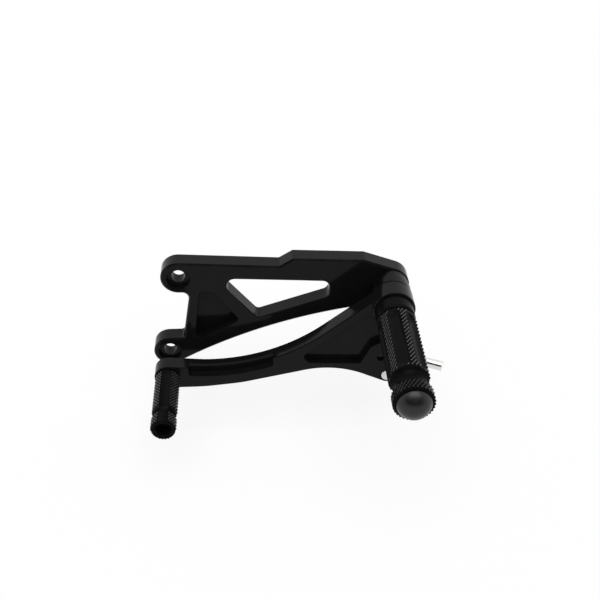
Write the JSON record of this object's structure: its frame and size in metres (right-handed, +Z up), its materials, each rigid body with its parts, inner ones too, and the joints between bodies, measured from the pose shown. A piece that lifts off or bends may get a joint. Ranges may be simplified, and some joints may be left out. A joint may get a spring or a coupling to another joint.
{
  "type": "rear set footrest",
  "caption": "Black machined rear set: side plate with a window, pivoting shift lever with toe peg and linkage rod, and a fluted knurled foot peg with a plastic end.",
  "frame": {"origin": "Midway between the two frame bolt holes, on the back face of the side plate.", "axes": "X along the plate from the frame bolts toward the pivot, Y from the pegs toward the motorbike's frame, Z up."},
  "size_m": [0.1784, 0.1255, 0.0764],
  "materials": {
    "black_anodised": "gloss black anodised",
    "black_plastic": "matte moulded",
    "black_steel": "black oxide",
    "bright_steel": "smooth bright",
    "bearing_bronze": "plain"
  },
  "bodies": {
    "frame": {"bracket": "black_anodised", "pivot_bolt": "black_steel", "spacer_ring": "black_anodised", "spacer_barrel": "black_anodised", "pivot_sleeve": "bright_steel", "outer_washer": "black_steel", "foot_peg": "black_anodised", "peg_slider": "black_plastic"},
    "lever": {"shift_lever": "black_anodised", "rear_bush": "bearing_bronze", "front_bush": "bearing_bronze", "toe_peg": "black_anodised", "toe_peg_screw": "black_steel", "ball_stud": "bright_steel"},
    "link": {"ball_socket": "bright_steel", "lock_nut": "bright_steel", "linkage_rod": "bright_steel"}
  },
  "joints": [
    {"name": "lever_pivot", "type": "hinge", "parent": "frame", "child": "lever", "pos_m": [0.1294, -0.03005, 0.0173], "axis": [0, 1, 0], "range_deg": [-15, 15]},
    {"name": "link_swivel", "type": "hinge", "parent": "lever", "child": "link", "pos_m": [0.128, -0.01005, -0.0321], "axis": [0, 1, 0], "range_deg": [-20, 20]}
  ]
}
